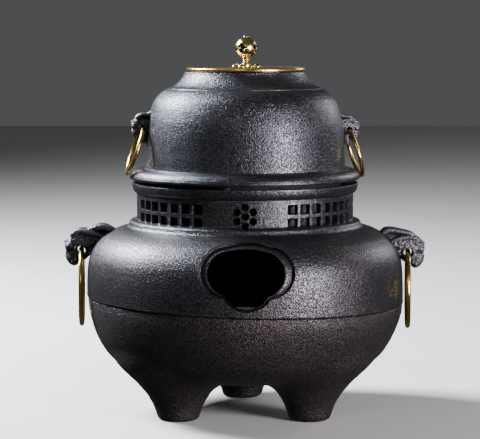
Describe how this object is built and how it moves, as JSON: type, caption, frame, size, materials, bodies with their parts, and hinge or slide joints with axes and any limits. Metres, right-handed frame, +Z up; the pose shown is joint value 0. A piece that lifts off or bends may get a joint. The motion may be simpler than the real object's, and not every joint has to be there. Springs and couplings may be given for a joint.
{
  "type": "charcoal brazier with kettle",
  "caption": "Round cast-iron charcoal brazier on short cast feet, with a fire window, pierced collar, beast-head lugs and brass rings, and a lidded kettle seated in its mouth.",
  "frame": {"origin": "on the brazier's vertical axis, in the plane its feet stand on", "axes": "+Z up along the axis, -Y out of the fire window (front), +X to the right as seen from the front"},
  "size_m": [0.3664, 0.32, 0.3812],
  "materials": {
    "cast_iron_brazier": "coarse pear-skin sand-cast surface, dark grey-brown",
    "cast_iron_kettle": "coarse pear-skin sand-cast surface, dark grey",
    "cast_iron_inner": "plain cast, heat-dulled",
    "brass_ring": "polished with light tarnish",
    "brass_knob": "polished, darker in the recesses",
    "lid_bronze": "patinated top with a bright turned rim",
    "steel_fastener": "plain, dulled",
    "fire_cement": "matt refractory cement"
  },
  "bodies": {
    "brazier": {"brazier_lower_bowl": "cast_iron_brazier", "brazier_upper_shell": "cast_iron_brazier", "seam_cement": "fire_cement", "brazier_lug_right": "cast_iron_brazier", "brazier_lug_left": "cast_iron_brazier", "brazier_lug_washers": "steel_fastener", "brazier_lug_nuts": "steel_fastener"},
    "brazier_ring_right": {"brazier_ring_right": "brass_ring"},
    "brazier_ring_left": {"brazier_ring_left": "brass_ring"},
    "charcoal_pan": {"charcoal_pan": "cast_iron_inner"},
    "charcoal_grate": {"charcoal_grate": "cast_iron_inner"},
    "kettle": {"kettle_body": "cast_iron_kettle", "kettle_lug_right": "cast_iron_kettle", "kettle_lug_left": "cast_iron_kettle"},
    "kettle_ring_right": {"kettle_ring_right": "brass_ring"},
    "kettle_ring_left": {"kettle_ring_left": "brass_ring"},
    "lid": {"lid_disc": "lid_bronze", "knob_rosette": "brass_knob", "knob_neck": "brass_knob", "knob_ball": "brass_knob", "knob_pin": "brass_knob", "knob_finial": "brass_knob", "lid_washer": "brass_knob", "lid_nut": "brass_knob"}
  },
  "joints": [
    {"name": "brazier_ring_right_swing", "type": "hinge", "parent": "brazier", "child": "brazier_ring_right", "pos_m": [0.165, 0, 0.1622], "axis": [0, -1, 0], "range_deg": [-5, 180]},
    {"name": "brazier_ring_left_swing", "type": "hinge", "parent": "brazier", "child": "brazier_ring_left", "pos_m": [-0.1656, 0, 0.1646], "axis": [0, 1, 0], "range_deg": [-5, 180]},
    {"name": "charcoal_pan_lift", "type": "slide", "parent": "brazier", "child": "charcoal_pan", "axis": [0, 0, 1], "range_m": [0, 0.035]},
    {"name": "charcoal_grate_lift", "type": "slide", "parent": "charcoal_pan", "child": "charcoal_grate", "axis": [0, 0, 1], "range_m": [0, 0.035]},
    {"name": "kettle_lift", "type": "slide", "parent": "brazier", "child": "kettle", "axis": [0, 0, 1], "range_m": [0, 0.3]},
    {"name": "lid_lift", "type": "slide", "parent": "kettle", "child": "lid", "axis": [0, 0, 1], "range_m": [0, 0.12]},
    {"name": "kettle_ring_right_swing", "type": "hinge", "parent": "kettle", "child": "kettle_ring_right", "pos_m": [0.1045, 0.01376, 0.2852], "axis": [0.1305, -0.9914, 0], "range_deg": [0, 175]},
    {"name": "kettle_ring_left_swing", "type": "hinge", "parent": "kettle", "child": "kettle_ring_left", "pos_m": [-0.10251, -0.0135, 0.2886], "axis": [-0.1305, 0.9914, 0], "range_deg": [0, 175]}
  ]
}
